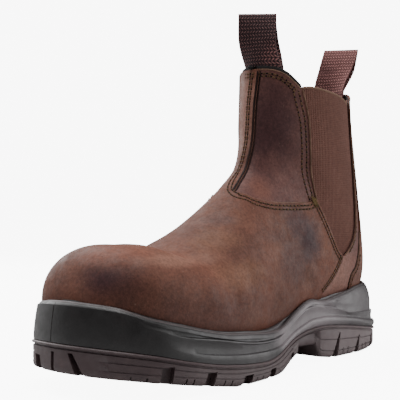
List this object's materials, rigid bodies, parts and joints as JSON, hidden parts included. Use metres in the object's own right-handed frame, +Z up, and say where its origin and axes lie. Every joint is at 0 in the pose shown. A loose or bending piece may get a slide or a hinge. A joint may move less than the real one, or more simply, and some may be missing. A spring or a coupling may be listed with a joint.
{
  "type": "safety boot",
  "caption": "Brown leather pull-on safety boot with elastic side gores, webbing pull tabs, a bumper midsole and a lugged outsole.",
  "frame": {"origin": "on the floor under the middle of the sole's outline", "axes": "toe towards -Y, heel towards +Y, +X to the outer side of the left foot, +Z up"},
  "size_m": [0.1173, 0.3056, 0.2457],
  "materials": {
    "brown_rubber": "matt moulded rubber",
    "dark_moulding": "satin moulded polyurethane",
    "insole_cloth": "plain cloth",
    "brown_leather": "oiled nubuck with scuffs",
    "brown_elastic": "fine ribbed elastic",
    "brown_webbing": "woven tape"
  },
  "bodies": {
    "root": {"outsole": "brown_rubber", "midsole": "dark_moulding", "insole": "insole_cloth", "upper": "brown_leather", "gore_outer": "brown_elastic", "gore_inner": "brown_elastic", "front_tab": "brown_webbing", "back_tab": "brown_webbing"}
  },
  "joints": []
}
